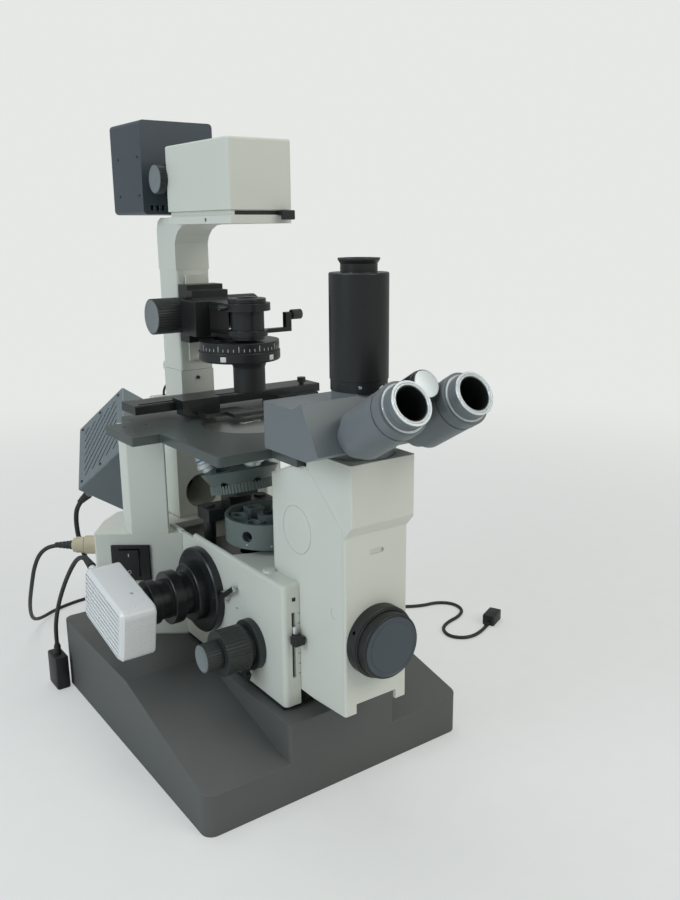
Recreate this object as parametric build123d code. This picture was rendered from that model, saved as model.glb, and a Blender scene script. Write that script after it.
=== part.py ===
"""Inverted research microscope, rebuilt from one photograph.

Millimetres, +Z up, +X to the user's right, -Y towards the user.
The origin lies on the table plane, under the optical axis of objective and condenser.
"""
from build123d import *
import math
import os

os.makedirs("parts", exist_ok=True)

# Clearances
GAP = 0.3
RUN = 0.05

# Base and body
BASE_HALF = 161.5
BASE_FRONT = -172.0
BASE_REAR = 212.0
BASE_TOP = 87.0
WING_FRONT = 44.5
CENTRE_HALF = 66.5
BLOCK_HALF = 56.0
BLOCK_FRONT = -149.0
BLOCK_LOW = 92.0
BLOCK_TOP = 224.0
BLOCK_REAR = 73.0
WALL = 4.0
NOSE_HALF = 37.0
NOSE_FRONT = -226.0
NOSE_LIP = -236.0
NOSE_REAR = -103.0
NOSE_TOP = 362.0
PANEL_T = 1.4
FRONT_PORT_Z = 184.0

# Rear housing
HOUSE_LOW = 89.0
HOUSE_TOP = 216.0
HOUSE_REAR = 198.0
HOUSE_SIDE = [(-56.0, 74.0), (-141.0, 134.5), (-113.0, 174.0), (-86.0, HOUSE_REAR)]
SWITCH_AT = (-106.2, 109.73, 180.6)
SWITCH_TURN = -35.443
SOCKET_AT = (-132.6, 146.35, 198.0)

# Stage
STAGE_LOW = 346.0
STAGE_TOP = 356.0
STAGE_HALF = 104.0
INSERT_R = 55.0
RAIL_X = 88.0
RAIL_HALF = 4.0
RAIL_TOP = 359.7
STAGE_KNOB = (122.0, 76.0)

# Observation head
HEAD_AXIS_Y = -199.5
HEAD_LOW = 370.0
HEAD_HALF = 77.0
TILT = 30.0
EYE_X = 34.0
EYE_W = 215.8
PIVOT_W = 234.1
PIVOT_R = 7.9
EYE_BORE = 15.0

# Illumination pillar
PILLAR_HALF = 21.4
PILLAR_FRONT = 125.0
PILLAR_REAR = 172.0
SEAM_LOW = 399.5
SEAM_HIGH = 517.6
HINGE_Y = 178.0
HINGE_R = 2.95
HEADBOX_HALF = 37.4
HEADBOX_FRONT = -36.0
HEADBOX_REAR = 106.0
HEADBOX_LOW = 582.5
HEADBOX_TOP = 652.0
LAMP_HALF = 46.0
LAMP_FRONT = 150.0
LAMP_REAR = 236.0
LAMP_LOW = 581.0
LAMP_TOP = 684.0
LAMP_Z = 618.0

# Condenser
COND_RING = 487.0
COND_R = 18.0
COND_TURRET_Y = 20.0
COND_KNOB_Y = 100.0
COND_KNOB_Z = 468.5

# Focus drive, side port and camera
FOCUS_Y = -87.0
FOCUS_Z = 140.0
COARSE_R = 9.0
FINE_R = 4.0
PORT_Y = 22.0
PORT_Z = 165.0
CAM_ROLL = 11.5
CAM_LONG = 104.0
CAM_HIGH = 62.0

# Nosepiece, filter drum and arc lamp
EPI_Z = 246.0
TURRET_TILT = 15.0
TURRET_RHO = 33.0
TURRET_SEAT = 312.0
DRUM_Y = -32.0
DRUM_R = 48.0
DRUM_LOW = 232.0
DRUM_TOP = 260.0
SPINDLE_R = 6.0
GUIDE_R = 7.0
ARC_A = 108.0
ARC_B = 127.0
ARC_D = 92.0

# Cords: control points, section radius
ARC_R = 3.5
ARC_CABLE = [(-59.6, 389.5, 184.0), (-68.3, 401.9, 170.9), (-71, 409, 146), (-68, 409, 108), (-58, 401, 68),
             (-42, 388, 36), (-18, 368, 14), (2, 350, 5), (12, 334, 3.5), (14.5, 318.2, 3.5)]
COIL_AT = (60.0, 300.0)
COIL_INNER = 28.0
COIL_OUTER = 49.0
CAM_R = 2.6
CAMERA_CABLE = [(-166, 81.9, 201.7), (-166, 97.6, 204.9), (-167.5, 118, 197.5), (-170, 138, 178.5),
                (-172.5, 160, 152), (-174.5, 181, 122), (-175.5, 197, 92), (-175, 204, 70), (-174.5, 205, 58)]
SUPPLY_R = 2.5
SUPPLY_CABLE = [(-162, 167.2, 198), (-176.7, 177.6, 198), (-188, 190, 188), (-192, 208, 165), (-190, 236, 130),
                (-184, 276, 90), (-172, 322, 52), (-156, 366, 24), (-134, 404, 7), (-104, 432, 2.5),
                (-58, 444, 2.5), (-8, 440, 2.5), (42, 424, 2.5), (90, 402, 2.5), (138, 374, 2.5),
                (184, 340, 2.5), (226, 300, 2.5), (262, 254, 2.5), (290, 204, 2.5), (300, 158, 2.5),
                (318, 124, 2.5), (348, 106, 2.5), (376, 102, 2.5), (394, 84, 2.5), (390, 58, 2.5),
                (368, 44, 2.5), (342, 40, 2.5), (320, 28, 2.5), (312, 4, 2.5), (328, -14, 2.5),
                (354, -14, 2.5), (376, -4, 2.5)]
LEAD_R = 1.5
LAMP_LEAD = [(-13, 172, 376), (-13, 180.5, 376), (-15, 188, 371.5), (-16, 191, 364.5), (-16, 191, 360)]


def bx(x0, x1, y0, y1, z0, z1):
    return Pos((x0 + x1) / 2, (y0 + y1) / 2, (z0 + z1) / 2) * Box(x1 - x0, y1 - y0, z1 - z0)


def cz(x, y, z0, z1, r):
    return Pos(x, y, (z0 + z1) / 2) * Cylinder(r, z1 - z0)


def cx(x0, x1, y, z, r):
    return Pos((x0 + x1) / 2, y, z) * Rot(0, 90, 0) * Cylinder(r, x1 - x0)


def cy(x, y0, y1, z, r):
    return Pos(x, (y0 + y1) / 2, z) * Rot(90, 0, 0) * Cylinder(r, y1 - y0)


def cone_z(x, y, z0, z1, r0, r1):
    return Pos(x, y, (z0 + z1) / 2) * Cone(r0, r1, z1 - z0)


def prism_x(points, x0, x1):
    face = Plane.YZ.offset(x0) * make_face(Polyline(*points, close=True))
    return extrude(face, x1 - x0)


def prism_z(points, z0, z1, inset=0.0):
    face = make_face(Polyline(*points, close=True))
    if inset:
        face = offset(face, amount=-inset, kind=Kind.INTERSECTION)
    return extrude(Plane.XY.offset(z0) * face, z1 - z0)


def mirror_x(shape):
    return mirror(shape, about=Plane.YZ)


def sided(side, near, far):
    return sorted((side * near, side * far))


def knurl_z(x, y, z0, z1, r, count, depth):
    turns = [2 * math.pi * k / count for k in range(count)]
    teeth = [cz(x + r * math.cos(t), y + r * math.sin(t), z0, z1, depth) for t in turns]
    return cz(x, y, z0, z1, r) - teeth


def knurl_x(x0, x1, y, z, r, count, depth):
    turns = [2 * math.pi * k / count for k in range(count)]
    teeth = [cx(x0, x1, y + r * math.cos(t), z + r * math.sin(t), depth) for t in turns]
    return cx(x0, x1, y, z, r) - teeth


def save(shape, name):
    export_step(shape, f"parts/{name}.step")


# Frame along the eyepiece tubes: local (x, w, s), s along the tube towards the user
ct = math.cos(math.radians(TILT))
st = math.sin(math.radians(TILT))
EYE = Plane(origin=(0, 0, 0), x_dir=(1, 0, 0), z_dir=(0, -ct, st)).location

# Frame of the nosepiece turret: local z is its rotation axis
ta = math.radians(TURRET_TILT)
APEX_H = TURRET_RHO / math.sin(ta)
SEAT_H = TURRET_RHO / math.tan(ta)
TURRET = Plane(origin=(0, 0, TURRET_SEAT - APEX_H), x_dir=(1, 0, 0), z_dir=(0, math.sin(ta), math.cos(ta))).location

# Frames of the arc-lamp housing, the slanted switch face, the supply socket and the camera
LAMP_BOX = Plane(origin=(-30, 303, 272), x_dir=(0.833, 0.0, -0.553), z_dir=(0.344, 0.784, 0.518)).location
SWITCH = Pos(*SWITCH_AT) * Rot(0, 0, SWITCH_TURN)
SOCKET = Plane(origin=SOCKET_AT, x_dir=(0, 0, 1), z_dir=(-0.8158, 0.5783, 0)).location
CAMERA = Pos(0, PORT_Y, PORT_Z) * Rot(CAM_ROLL, 0, 0)


def base_casting():
    wing = [(BASE_FRONT, 0), (BASE_FRONT, WING_FRONT), (10, BASE_TOP), (BASE_REAR, BASE_TOP), (BASE_REAR, 0)]
    body = prism_x(wing, -BASE_HALF, BASE_HALF)
    corners = body.edges().filter_by(Axis.Z).filter_by(lambda e: abs(e.center().X) > BASE_HALF - 1)
    body = fillet(corners, 12)
    centre = bx(-CENTRE_HALF, CENTRE_HALF, BASE_FRONT, 20, 5, BASE_TOP)
    centre = fillet(centre.edges().filter_by(Axis.Z).filter_by(lambda e: e.center().Y < 0), 4)
    body += centre
    body -= bx(-150, 150, -160, 200, -1, 5)
    body -= bx(-142, 142, -150, 190, 4, 34)
    body -= bx(-60, 60, -140, 190, 33, 78)
    return body


def bottom_cover():
    return bx(-149.9, 149.9, -159.9, 199.9, 0, 5)


def body_block():
    outer = bx(-BLOCK_HALF, BLOCK_HALF, BLOCK_FRONT, BLOCK_REAR, BLOCK_LOW, BLOCK_TOP)
    outer = fillet(outer.edges().filter_by(Axis.Z).filter_by(lambda e: e.center().Y < 0), 5)
    outer = fillet(outer.edges().filter_by(Axis.Y).filter_by(lambda e: e.center().Z > 200), 4)
    inside = BLOCK_HALF - WALL
    shell = outer - bx(-inside, inside, BLOCK_FRONT + WALL, BLOCK_REAR + 1, BLOCK_LOW - 1, BLOCK_TOP - WALL)
    nose = NOSE_HALF + 0.2
    shell -= bx(-nose, nose, BLOCK_FRONT - 1, NOSE_REAR, BLOCK_LOW - 1, BLOCK_TOP + 1)
    arc = [(-inside, -42), (-30, -50), (0, -53), (30, -50), (inside, -42), (inside, 90), (-inside, 90)]
    shell -= prism_z(arc, BLOCK_TOP - WALL - 1, BLOCK_TOP + 1)
    shell -= bx(-BLOCK_HALF - 1, -inside + 1, 44.5, 90, BLOCK_TOP - 5, BLOCK_TOP + 1)
    for side in (-1, 1):
        x0, x1 = sided(side, inside - 1, BLOCK_HALF + 1)
        shell -= cx(x0, x1, FOCUS_Y, FOCUS_Z, 12)
    shell -= cx(-BLOCK_HALF - 1, -inside + 1, PORT_Y, PORT_Z, 36)
    shell -= bx(-46.5, -42.5, BLOCK_FRONT - 1, BLOCK_FRONT + WALL + 1, 123, 194)
    shell -= cx(-BLOCK_HALF - 1, -BLOCK_HALF + 2, -54.2, 167.7, 1.2)
    shell -= cx(-BLOCK_HALF - 1, -inside + 1, -34, 176, 4)
    for x in (-44.5, 44.5):
        cap = cz(x, -105, BLOCK_TOP - 1, BLOCK_TOP + 2.2, 6.5)
        shell += fillet(cap.edges().group_by(Axis.Z)[-1], 0.8)
    return shell


def inner_frame():
    frame = bx(-55, 55, -144, 70, BASE_TOP, BLOCK_LOW) + bx(-50, 50, 69, 193, BASE_TOP, BLOCK_LOW)
    for side in (-1, 1):
        x0, x1 = sided(side, 46, 51.5)
        frame += bx(x0, x1, NOSE_REAR, 60, BLOCK_LOW - 1, 205)
        frame -= cx(x0 - 1, x1 + 1, FOCUS_Y, FOCUS_Z, COARSE_R + RUN)
    frame += bx(-51.5, 51.5, NOSE_REAR, -99, BLOCK_LOW - 1, 205)
    frame += bx(-51.5, 51.5, 56, 66, BLOCK_LOW - 1, 205)
    frame += bx(-46, 46, -84, 60, 197, 205)
    frame += cz(0, DRUM_Y, 204, DRUM_LOW - GAP, 11)
    frame += cz(0, DRUM_Y, DRUM_LOW - 1, DRUM_TOP + 2, SPINDLE_R)
    frame -= cz(0, 0, 190, 240, 17)
    for x in (-34, 34):
        frame += cz(x, 44, 204, 256, GUIDE_R)
    return frame


def nose_housing():
    side = [(NOSE_FRONT, 112), (NOSE_FRONT, 292), (NOSE_LIP, 304), (NOSE_LIP, NOSE_TOP), (-166, NOSE_TOP),
            (-166, STAGE_LOW), (-148, STAGE_LOW), (NOSE_REAR, 328), (NOSE_REAR, 108), (-173, 108)]
    body = prism_x(side, -NOSE_HALF, NOSE_HALF)
    body = fillet(body.edges().filter_by(Axis.Z).filter_by(lambda e: e.center().Y < -220), 2.5)
    cavity = [(NOSE_FRONT + 4, 100), (NOSE_FRONT + 4, 290), (NOSE_LIP + 4, 302), (NOSE_LIP + 4, NOSE_TOP - 4),
              (-170, NOSE_TOP - 4), (-170, 341), (-150, 341), (-107, 324), (-107, 100)]
    body -= prism_x(cavity, -NOSE_HALF + 4, NOSE_HALF - 4)
    for sign in (-1, 1):
        x0, x1 = sided(sign, NOSE_HALF - PANEL_T, NOSE_HALF + 1)
        body -= extrude(Plane.YZ.offset(x0) * panel_face(0.15), x1 - x0)
    body -= bx(-24, 24, NOSE_FRONT - 1, NOSE_FRONT + 6, 100, 122)
    body -= cz(0, HEAD_AXIS_Y, NOSE_TOP - 10, NOSE_TOP + 1, 27)
    body -= cy(0, NOSE_FRONT - 1, NOSE_FRONT + 6, FRONT_PORT_Z, 22)
    slot = bx(-6, 6, NOSE_FRONT - 1, NOSE_FRONT + 2.2, 270, 275)
    for x in (-6, 6):
        slot += cy(x, NOSE_FRONT - 1, NOSE_FRONT + 2.2, 272.5, 2.5)
    return body - slot


def panel_face(grow):
    points = [(-104, 327), (-148, 344.6), (-168.5, 344.6), (-223.2, 297.5), (-223.2, 114), (-173, 110.5),
              (-149.2, 110.5), (-149.2, 227), (-104, 227)]
    face = make_face(Polyline(*points, close=True))
    return offset(face, amount=grow, kind=Kind.INTERSECTION) if grow else face


def side_panels():
    panel = extrude(Plane.YZ.offset(-NOSE_HALF) * panel_face(0), PANEL_T)
    ring = cx(-NOSE_HALF - 1, -NOSE_HALF + 0.5, -147, 279, 24.6) - cx(-NOSE_HALF - 1, -NOSE_HALF + 1, -147, 279, 24)
    panel -= ring
    panel -= cx(-NOSE_HALF - 1, -NOSE_HALF + 0.6, -208.4, 212.7, 5.2)
    return Compound([panel, mirror_x(panel)])


def front_port():
    front = NOSE_FRONT - 12
    ring = cy(0, front, NOSE_FRONT, FRONT_PORT_Z, 35.5)
    ring = chamfer(ring.edges().group_by(Axis.Y)[0], 1.2)
    cap = cy(0, front - 11, front, FRONT_PORT_Z, 32)
    cap = fillet(cap.edges().group_by(Axis.Y)[0], 2)
    body = ring + cap - cy(0, front - 7, NOSE_FRONT + 1, FRONT_PORT_Z, 23)
    groove = cy(0, front - 0.6, front, FRONT_PORT_Z, 33) - cy(0, front - 1, front + 1, FRONT_PORT_Z, 31.4)
    body -= groove
    return body - Pos(0, NOSE_FRONT - 6, FRONT_PORT_Z) * Rot(0, -62, 0) * Pos(0, 0, 34) * Cylinder(2, 6)


def house_points():
    return HOUSE_SIDE + [(-x, y) for x, y in reversed(HOUSE_SIDE)]


def rear_housing():
    body = prism_z(house_points(), HOUSE_LOW, HOUSE_TOP)
    body = fillet(body.edges().filter_by(Axis.Z).filter_by(lambda e: abs(e.center().X) > 100), 3)
    body += prism_z(house_points(), BASE_TOP, HOUSE_LOW + 0.5, 1.5)
    body += bx(-BLOCK_HALF, BLOCK_HALF, 74, 106, HOUSE_LOW, 220)
    body -= prism_z(house_points(), BASE_TOP - 1, HOUSE_TOP - WALL, WALL)
    body -= bx(-BLOCK_HALF + WALL, BLOCK_HALF - WALL, 70, 102, BASE_TOP - 1, 221)
    body += bx(-40, 40, 168, HOUSE_REAR, HOUSE_TOP - 1, 288)
    body -= cy(0, 160, HOUSE_REAR + 1, EPI_Z, 22)
    body -= bx(-34, 34, 127.8, 167.8, HOUSE_TOP - WALL - 1, HOUSE_TOP + 1)
    body -= SWITCH * bx(-19, 19, -2, 12, -19, 19)
    return body


def stage_posts():
    points = [(-104, 108.2), (-66.5, 81.5), (-66.5, 130), (-104, 130)]
    post = prism_z(points, HOUSE_TOP, STAGE_LOW)
    post = fillet(post.edges().filter_by(Axis.Z).filter_by(lambda e: e.center().Y < 110), 2)
    return Compound([post, mirror_x(post)])


def switch_bezel():
    body = chamfer((SWITCH * bx(-23, 23, -3, 0, -22, 22)).edges().filter_by(Axis.Z), 1)
    body += SWITCH * bx(-18.9, 18.9, -1, 9, -18.9, 18.9)
    return body - SWITCH * bx(-13.9, 10.3, -4, 8, -17.4, 17.4)


def rocker_switch():
    points = [(-4, -16.6), (-5.5, -16.6), (-3.4, 0), (-5.5, 16.6), (-4, 16.6), (4, 12), (4, -12)]
    return SWITCH * prism_x(points, -13.6, 10)


def supply_socket():
    ring = cz(0, 0, 0, 14, 11) - cz(0, 0, 3, 15, 8.5)
    plug = cz(0, 0, 3, 28, 8.5) + cz(0, 0, 15, 25, 9.5)
    return SOCKET * (ring + plug + cone_z(0, 0, 28, 36, 6, 3.6))


def port_flange():
    disc = cx(-66, -BLOCK_HALF, PORT_Y, PORT_Z, 49)
    disc = chamfer(disc.edges().group_by(Axis.X)[0], 1.5)
    disc += cx(-BLOCK_HALF - 0.5, -BLOCK_HALF + WALL, PORT_Y, PORT_Z, 35.8)
    disc -= cx(-67, -40, PORT_Y, PORT_Z, 20)
    for k in range(3):
        a = math.radians(50 + 120 * k)
        disc -= cx(-67, -60, PORT_Y + 43 * math.cos(a), PORT_Z + 43 * math.sin(a), 3.4)
    return disc


def port_adapter():
    body = cx(-138, -66, PORT_Y, PORT_Z, 17)
    for a, b, r in ((-78, -66, 33), (-92, -78, 24), (-104, -92, 30), (-118, -104, 22), (-128, -118, 25)):
        step = cx(a, b, PORT_Y, PORT_Z, r)
        body += chamfer(step.edges().group_by(Axis.X)[0], 0.8)
    return body - cx(-139, -60, PORT_Y, PORT_Z, 13)


def camera_box(x0, x1):
    box = fillet(Box(x1 - x0, CAM_LONG, CAM_HIGH).edges().filter_by(Axis.X), 9)
    return CAMERA * Pos((x0 + x1) / 2, 0, 0) * box


def camera_body():
    body = camera_box(-162, -138)
    body = fillet(body.edges().group_by(Axis.X)[-1], 3)
    back = chamfer(camera_box(-178, -162).edges().group_by(Axis.X)[0], 4)
    for k in range(10):
        back -= CAMERA * Pos(-178, 0, -25 + 5.6 * k) * Box(8, 92, 2.4)
    body += back
    body -= cx(-150, -137, PORT_Y, PORT_Z, 13)
    body -= CAMERA * cz(-152, -18, CAM_HIGH / 2 - 3, CAM_HIGH / 2 + 1, 2.2)
    boot = CAMERA * Pos(-166, CAM_LONG / 2 + 7, 22) * Rot(-90, 0, 0) * Cone(5, 3.4, 14)
    return body + boot


def focus_bosses():
    rings = []
    for side in (-1, 1):
        x0, x1 = sided(side, BLOCK_HALF, 63.5)
        ring = cx(x0, x1, FOCUS_Y, FOCUS_Z, 27)
        x0, x1 = sided(side, 51.5, 57)
        ring += cx(x0, x1, FOCUS_Y, FOCUS_Z, 11.9)
        rings.append(ring)
    rings[0] += cx(-69.6, -63, FOCUS_Y, FOCUS_Z, 12)
    return Compound([ring - cx(-75, 75, FOCUS_Y, FOCUS_Z, COARSE_R + RUN) for ring in rings])


def coarse_knobs():
    body = cx(-71, 71, FOCUS_Y, FOCUS_Z, COARSE_R)
    for side in (-1, 1):
        x0, x1 = sided(side, 70, 98)
        body += knurl_x(x0, x1, FOCUS_Y, FOCUS_Z, 24, 40, 0.7)
    return body - cx(-99, 99, FOCUS_Y, FOCUS_Z, FINE_R + RUN)


def fine_knobs():
    body = cx(-99, 99, FOCUS_Y, FOCUS_Z, FINE_R)
    for side in (-1, 1):
        x0, x1 = sided(side, 98 + GAP, 116.5)
        body += knurl_x(x0, x1, FOCUS_Y, FOCUS_Z, 15, 30, 0.6)
    return body


def tension_lever():
    ring = cx(-69.4, -63.9, FOCUS_Y, FOCUS_Z, 20)
    turn = Pos(-66.65, FOCUS_Y, FOCUS_Z) * Rot(28, 0, 0)
    ring += turn * Pos(0, -14, -18) * Box(5.5, 8, 16)
    ring += turn * Pos(0, -16, -28) * Box(5.5, 12, 10)
    return ring - cx(-72, -60, FOCUS_Y, FOCUS_Z, 12 + RUN)


def light_slider():
    inner = BLOCK_FRONT + WALL + GAP
    body = bx(-46.2, -42.8, BLOCK_FRONT - 3, inner + 3, 163.5, 170.5)
    body += bx(-48.5, -40.5, inner, inner + 3, 155, 180)
    return body + fillet(bx(-51, -38.5, BLOCK_FRONT - 13, BLOCK_FRONT - 2.5, 162.5, 171.5).edges(), 1.5)


def selector_lever():
    body = cx(-63, -52, -34, 176, 4 - RUN)
    body += cx(-63, -BLOCK_HALF - GAP, -34, 176, 6)
    return body + Pos(-61, -34, 176) * Rot(-34, 0, 0) * Pos(0, -15, 0) * Box(4, 30, 6)


def focus_carriage():
    body = bx(-44, 44, 26, 54, 240, 254) + bx(-14, 14, 30, 52, 253, 262)
    body += TURRET * bx(-14, 14, -9, 30, SEAT_H - 39, SEAT_H - 33 - GAP)
    body += TURRET * cz(0, 0, SEAT_H - 35, SEAT_H - 12, SPINDLE_R)
    body -= cy(0, 20, 60, EPI_Z + 1, 4)
    for x in (-34, 34):
        body -= cz(x, 44, 239, 256, GUIDE_R + RUN)
    return body


def seats(count):
    return [TURRET * Rot(0, 0, 60 * k - 90) * Rot(0, TURRET_TILT, 0) for k in range(count)]


def nosepiece_turret():
    body = knurl_z(0, 0, SEAT_H - 33, SEAT_H - 23, 37, 60, 0.8)
    body += cone_z(0, 0, SEAT_H - 23, SEAT_H - 9, 36, 45)
    body += cone_z(0, 0, SEAT_H - 9, SEAT_H + 3, 45, 18)
    body = TURRET * (body - cz(0, 0, SEAT_H - 34, SEAT_H - 11.5, SPINDLE_R + RUN))
    for seat in seats(6):
        body -= seat * cz(0, 0, APEX_H, APEX_H + 30, 15.5)
        body -= seat * cz(0, 0, APEX_H - 60, APEX_H + 1, 10)
    return body


def objectives():
    bodies = []
    for seat, length in zip(seats(5), (38, 32, 36, 37, 28)):
        top = APEX_H + length
        o = cz(0, 0, APEX_H, APEX_H + 6, 14) + cz(0, 0, APEX_H + 6, top - 11, 12.5)
        o += cone_z(0, 0, top - 11, top, 12.5, 6.5)
        o += cz(0, 0, APEX_H - 5, APEX_H + 1, 9.95)
        o -= cz(0, 0, APEX_H - 6, top - 3, 5)
        o -= cz(0, 0, top - 4, top + 1, 3)
        bodies.append(seat * o)
    return Compound(bodies)


def filter_turret():
    ring = -DRUM_Y
    body = cz(0, DRUM_Y, DRUM_LOW, DRUM_TOP, DRUM_R) - cz(0, DRUM_Y, DRUM_LOW + 4, DRUM_TOP + 1, DRUM_R - 4)
    body += cz(0, DRUM_Y, DRUM_LOW, DRUM_TOP - 2, 12)
    for k in range(6):
        turn = Pos(0, DRUM_Y, 0) * Rot(0, 0, 60 * k + 30)
        if k != 4:
            body += turn * bx(ring - 9, ring + 9, -9, 9, DRUM_LOW + 3, DRUM_TOP - 2)
        body -= turn * cz(ring, 0, DRUM_LOW - 1, DRUM_TOP + 1, 6.5)
        body -= turn * cx(ring, DRUM_R + 2, 0, EPI_Z, 6)
    return body - cz(0, DRUM_Y, DRUM_LOW - 1, DRUM_TOP + 1, SPINDLE_R + RUN)


def stage_plate():
    outline = [(-STAGE_HALF, -117.5), (-44, -117.5), (-44, -160), (44, -160), (44, -117.5), (STAGE_HALF, -117.5),
               (STAGE_HALF, 118), (-STAGE_HALF, 118)]
    body = prism_z(outline, STAGE_LOW, STAGE_TOP)
    body = fillet(body.edges().filter_by(Axis.Z).filter_by(lambda e: abs(e.center().X) > 90), 3)
    body = chamfer(body.faces().sort_by(Axis.Z)[-1].edges(), 0.6)
    wing = bx(-136, -STAGE_HALF + 1, 9, 82, STAGE_LOW, STAGE_TOP)
    body += fillet(wing.edges().filter_by(Axis.Z).filter_by(lambda e: e.center().X < -120), 2)
    body -= cz(0, 0, STAGE_TOP - 4, STAGE_TOP + 1, INSERT_R + 0.1)
    body -= cz(0, 0, STAGE_LOW - 1, STAGE_TOP + 1, INSERT_R - 4)
    for x, y in ((-98, -32), (98, -32), (-98, 60), (-122, 30), (-122, 62)):
        body -= cz(x, y, STAGE_TOP - 3, STAGE_TOP + 1, 2.2)
    return body + bx(RAIL_X - RAIL_HALF, RAIL_X + RAIL_HALF, -52, 116, STAGE_TOP - 1, RAIL_TOP)


def stage_insert():
    disc = cz(0, 0, STAGE_TOP - 4, STAGE_TOP - 0.1, INSERT_R)
    disc -= bx(-8, 8, -2, 2, STAGE_TOP - 5, STAGE_TOP + 1)
    for x in (-9, 9):
        disc -= cz(x, 0, STAGE_TOP - 5, STAGE_TOP + 1, 5)
    return disc


def y_carriage():
    kx, ky = STAGE_KNOB
    bar = bx(-107, 138, 66, 104, 366, 376)
    bar = chamfer(bar.edges().filter_by(Axis.X).filter_by(lambda e: e.center().Z > 375), 1)
    bar += bx(RAIL_X - 11, RAIL_X + 11, 40, 104, STAGE_TOP + GAP, 366.5)
    half = RAIL_HALF + RUN
    bar -= bx(RAIL_X - half, RAIL_X + half, 30, 110, 350, RAIL_TOP + GAP)
    bar += bx(RAIL_X + 10, kx + 10, 60, 92, STAGE_TOP + 4, 366.5)
    bar += bx(kx - 10, kx + 10, 62, 90, 331, 366.5) + cz(kx, ky, 322, 332, 11)
    bar -= cz(kx, ky, 300, 350, 4 + RUN)
    bar -= bx(-100, 60, 70, 76, 371.5, 377)
    return bar + cz(115, 72, 375, 379, 3) + knurl_z(115, 72, 379, 385, 5.2, 20, 0.35)


def specimen_holder():
    body = bx(-58, -12, 48, 66 - GAP, 362, 379) + bx(-58, -12, 65, 76 - GAP, 376 + GAP, 379)
    body += bx(-52, -20, 70 + GAP, 76 - GAP, 371.5 + GAP, 377)
    body += bx(-14, 84, 12, 30, 360.2, 364.5) + bx(-40, 10, 29, 50, 360.2, 364.5)
    return body + bx(74, 84, -40, 14, 360.2, 362.5) + bx(66, 76, -40, -34, 360.2, 362.5)


def stage_knob_upper():
    kx, ky = STAGE_KNOB
    body = knurl_z(kx, ky, 286, 322 - GAP, 15, 40, 0.6) + cz(kx, ky, 321, 345, 4)
    return body - cz(kx, ky, 280, 350, 2 + RUN)


def stage_knob_lower():
    kx, ky = STAGE_KNOB
    return knurl_z(kx, ky, 262, 286 - GAP, 11, 30, 0.6) + cz(kx, ky, 285, 344, 2)


def pillar_foot():
    body = bx(-32, 32, 128, 167.5, BLOCK_LOW, 345)
    body += bx(-PILLAR_HALF, PILLAR_HALF, PILLAR_FRONT, PILLAR_REAR, 330, SEAM_LOW - GAP)
    block = bx(-32, 32, 160, 203, 330, 360)
    body += chamfer(block.edges().filter_by(Axis.X).filter_by(lambda e: e.center().Y > 200 and e.center().Z > 355), 6)
    body -= cy(0, 120, 220, EPI_Z, 22)
    body -= bx(-8, 8, 170, 190, 384, 410)
    for side in (-1, 1):
        x0, x1 = sided(side, 8, 18)
        body += bx(x0, x1, 170, HINGE_Y, 385, SEAM_LOW - GAP) + cx(x0, x1, HINGE_Y, SEAM_LOW, 5.8)
    body += cx(-18, 18, HINGE_Y, SEAM_LOW, HINGE_R)
    return body - cy(0, 120, 129, 390, 2.2)


def pillar():
    body = bx(-PILLAR_HALF, PILLAR_HALF, PILLAR_FRONT, PILLAR_REAR, SEAM_LOW, SEAM_HIGH)
    body = fillet(body.edges().filter_by(Axis.Z), 3)
    for side in (-1, 1):
        x0, x1 = sided(side, 7.7, 18 + GAP)
        body -= cx(x0, x1, HINGE_Y, SEAM_LOW, 6.4)
    body += cx(-7.7, 7.7, HINGE_Y, SEAM_LOW, 6.4) + bx(-7.7, 7.7, 170, HINGE_Y + 6, SEAM_LOW + 3, SEAM_LOW + 22)
    body -= cx(-7.8, 7.8, HINGE_Y, SEAM_LOW, HINGE_R + RUN)
    body += bx(-9, 9, 119, PILLAR_FRONT + 1, 412, 512) + bx(-12, 12, 119, 121.5, 412, 512)
    return body


def pillar_arm():
    side = [(PILLAR_FRONT, SEAM_HIGH), (PILLAR_FRONT, 548), (121, 556), (113, 563), (100, 568), (84, 569),
            (84, 577), (160, 577), (168, 573), (PILLAR_REAR, 564), (PILLAR_REAR, SEAM_HIGH)]
    body = prism_x(side, -PILLAR_HALF, PILLAR_HALF)
    slab = bx(-HEADBOX_HALF, HEADBOX_HALF, HEADBOX_FRONT, HEADBOX_REAR, 569, 577)
    body += fillet(slab.edges().filter_by(Axis.Z), 4)
    body += bx(-34, 34, HEADBOX_FRONT + 2, HEADBOX_REAR - 3, 576, HEADBOX_LOW)
    body -= cz(0, 0, 560, 583, 24)
    body -= bx(-30, 30, HEADBOX_FRONT - 1, 26, 577.6, 581.6)
    body -= cx(-40, -35, 14.9, 573, 2)
    return body


def filter_slider():
    body = bx(-29.7, 29.7, HEADBOX_FRONT + 3, 25, 577.9, 581.3)
    body -= cz(0, 0, 577, 582, 22)
    body += bx(20, 29.7, HEADBOX_FRONT - 7, HEADBOX_FRONT + 4, 577.9, 581.3)
    return body + fillet(bx(19, 33, HEADBOX_FRONT - 12, HEADBOX_FRONT - 6, 572.5, 582).edges(), 1.2)


def head_box():
    body = bx(-HEADBOX_HALF, HEADBOX_HALF, HEADBOX_FRONT, HEADBOX_REAR, HEADBOX_LOW, HEADBOX_TOP)
    body = fillet(body.edges().filter_by(Axis.Z), 4)
    body = fillet(body.edges().group_by(Axis.Z)[-1], 2.5)
    body -= bx(-33, 33, HEADBOX_FRONT + 4, HEADBOX_REAR - 4, HEADBOX_LOW + 4, HEADBOX_TOP - 4)
    body -= cz(0, 0, HEADBOX_LOW - 1, HEADBOX_LOW + 5, 24)
    body -= cy(0, HEADBOX_REAR - 5, HEADBOX_REAR + 1, LAMP_Z, 22)
    return body


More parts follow.
